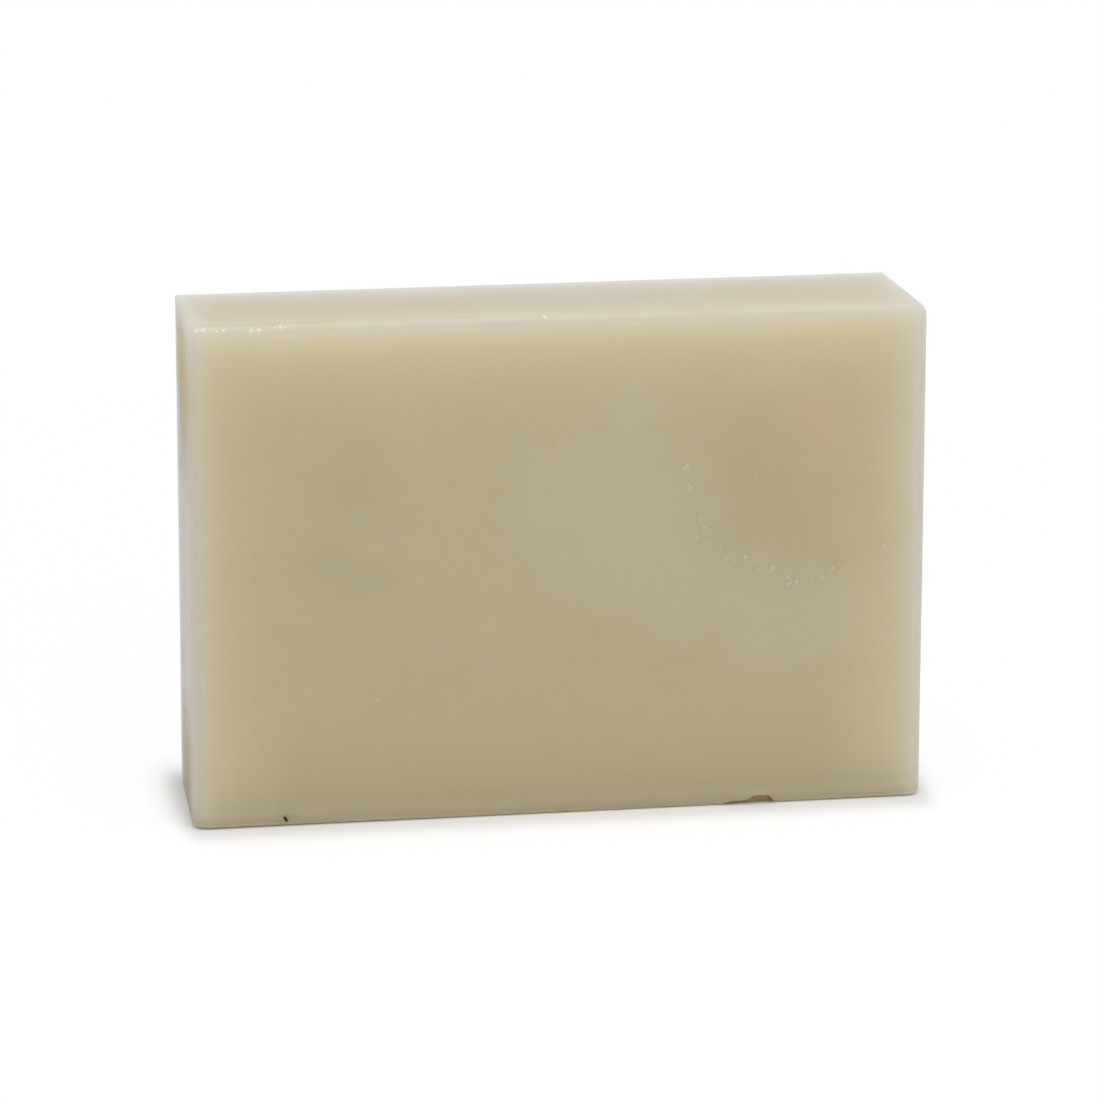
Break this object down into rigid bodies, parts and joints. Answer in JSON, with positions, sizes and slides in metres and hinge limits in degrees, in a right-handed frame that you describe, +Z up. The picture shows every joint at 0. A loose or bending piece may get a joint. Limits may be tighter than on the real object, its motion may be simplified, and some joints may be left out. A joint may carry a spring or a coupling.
{
  "type": "bar of soap",
  "caption": "Rectangular bar of hand soap standing on its long narrow side, with rubbed front edges, a small chip in the foot edge and a pinhole.",
  "frame": {"origin": "on the surface the bar stands on, under the middle of its bounding box", "axes": "+X to the right along the bar's length, +Y from the front face to the back face, +Z up"},
  "size_m": [0.09, 0.022, 0.062],
  "materials": {
    "soap": "satin cast soap, pale olive beige, slightly translucent at the edges, with a faint white bloom"
  },
  "bodies": {
    "root": {"soap_bar": "soap"}
  },
  "joints": []
}
